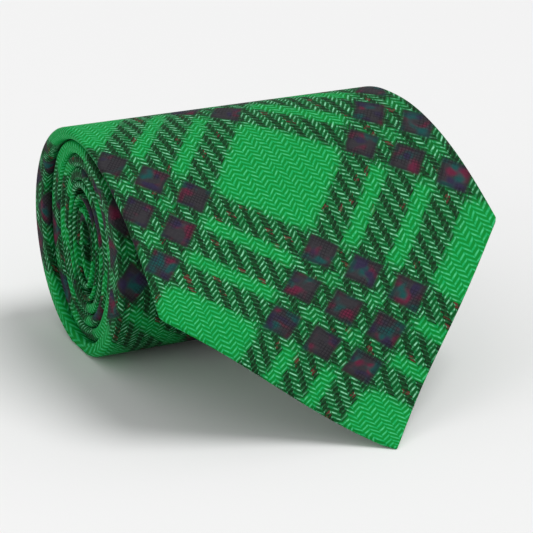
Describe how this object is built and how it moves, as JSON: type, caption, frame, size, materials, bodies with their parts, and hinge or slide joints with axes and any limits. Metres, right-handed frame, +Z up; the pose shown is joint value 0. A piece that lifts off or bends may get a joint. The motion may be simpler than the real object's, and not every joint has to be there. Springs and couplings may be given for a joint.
{
  "type": "necktie",
  "caption": "Wide tartan necktie folded double and rolled up, with the pointed end of its blade drawn out over the roll and lifting on a hinge line.",
  "frame": {"origin": "middle of the flat face that the roll rests on, under the middle of the blade's full width", "axes": "+Z up; X along the roll; the blade's point lies on the -Y side"},
  "size_m": [0.1008, 0.1247, 0.0621],
  "materials": {
    "tartan_cloth": "woven tartan twill in bright green with maroon-black checks, soft sheen",
    "interlining": "brushed wool interlining, undyed",
    "lining": "dark green lining satin",
    "label_satin": "plain dark satin ribbon, blank",
    "care_label_satin": "plain white satin ribbon, blank",
    "thread": "green sewing thread"
  },
  "bodies": {
    "roll": {"blade_panel_rolled": "tartan_cloth", "neck_panel": "tartan_cloth", "tail_panel": "tartan_cloth", "interlining_rolled": "interlining", "tail_tipping": "lining", "tail_tipping_stitch": "thread", "slip_stitch_rolled": "thread", "blade_neck_seam": "thread", "neck_tail_seam": "thread", "tail_bar_tack": "thread", "keeper_loop": "tartan_cloth", "keeper_tack_left": "thread", "keeper_tack_right": "thread", "label": "label_satin", "label_stitch_left": "thread", "label_stitch_right": "thread", "care_label": "care_label_satin"},
    "blade_end": {"blade_panel_end": "tartan_cloth", "interlining_end": "interlining", "blade_tipping": "lining", "blade_tipping_stitch": "thread", "slip_stitch_end": "thread", "blade_bar_tack": "thread"}
  },
  "joints": [
    {"name": "blade_lift", "type": "hinge", "parent": "roll", "child": "blade_end", "pos_m": [0, 0, 0.06212], "axis": [-1, 0, 0], "range_deg": [0, 45]}
  ]
}
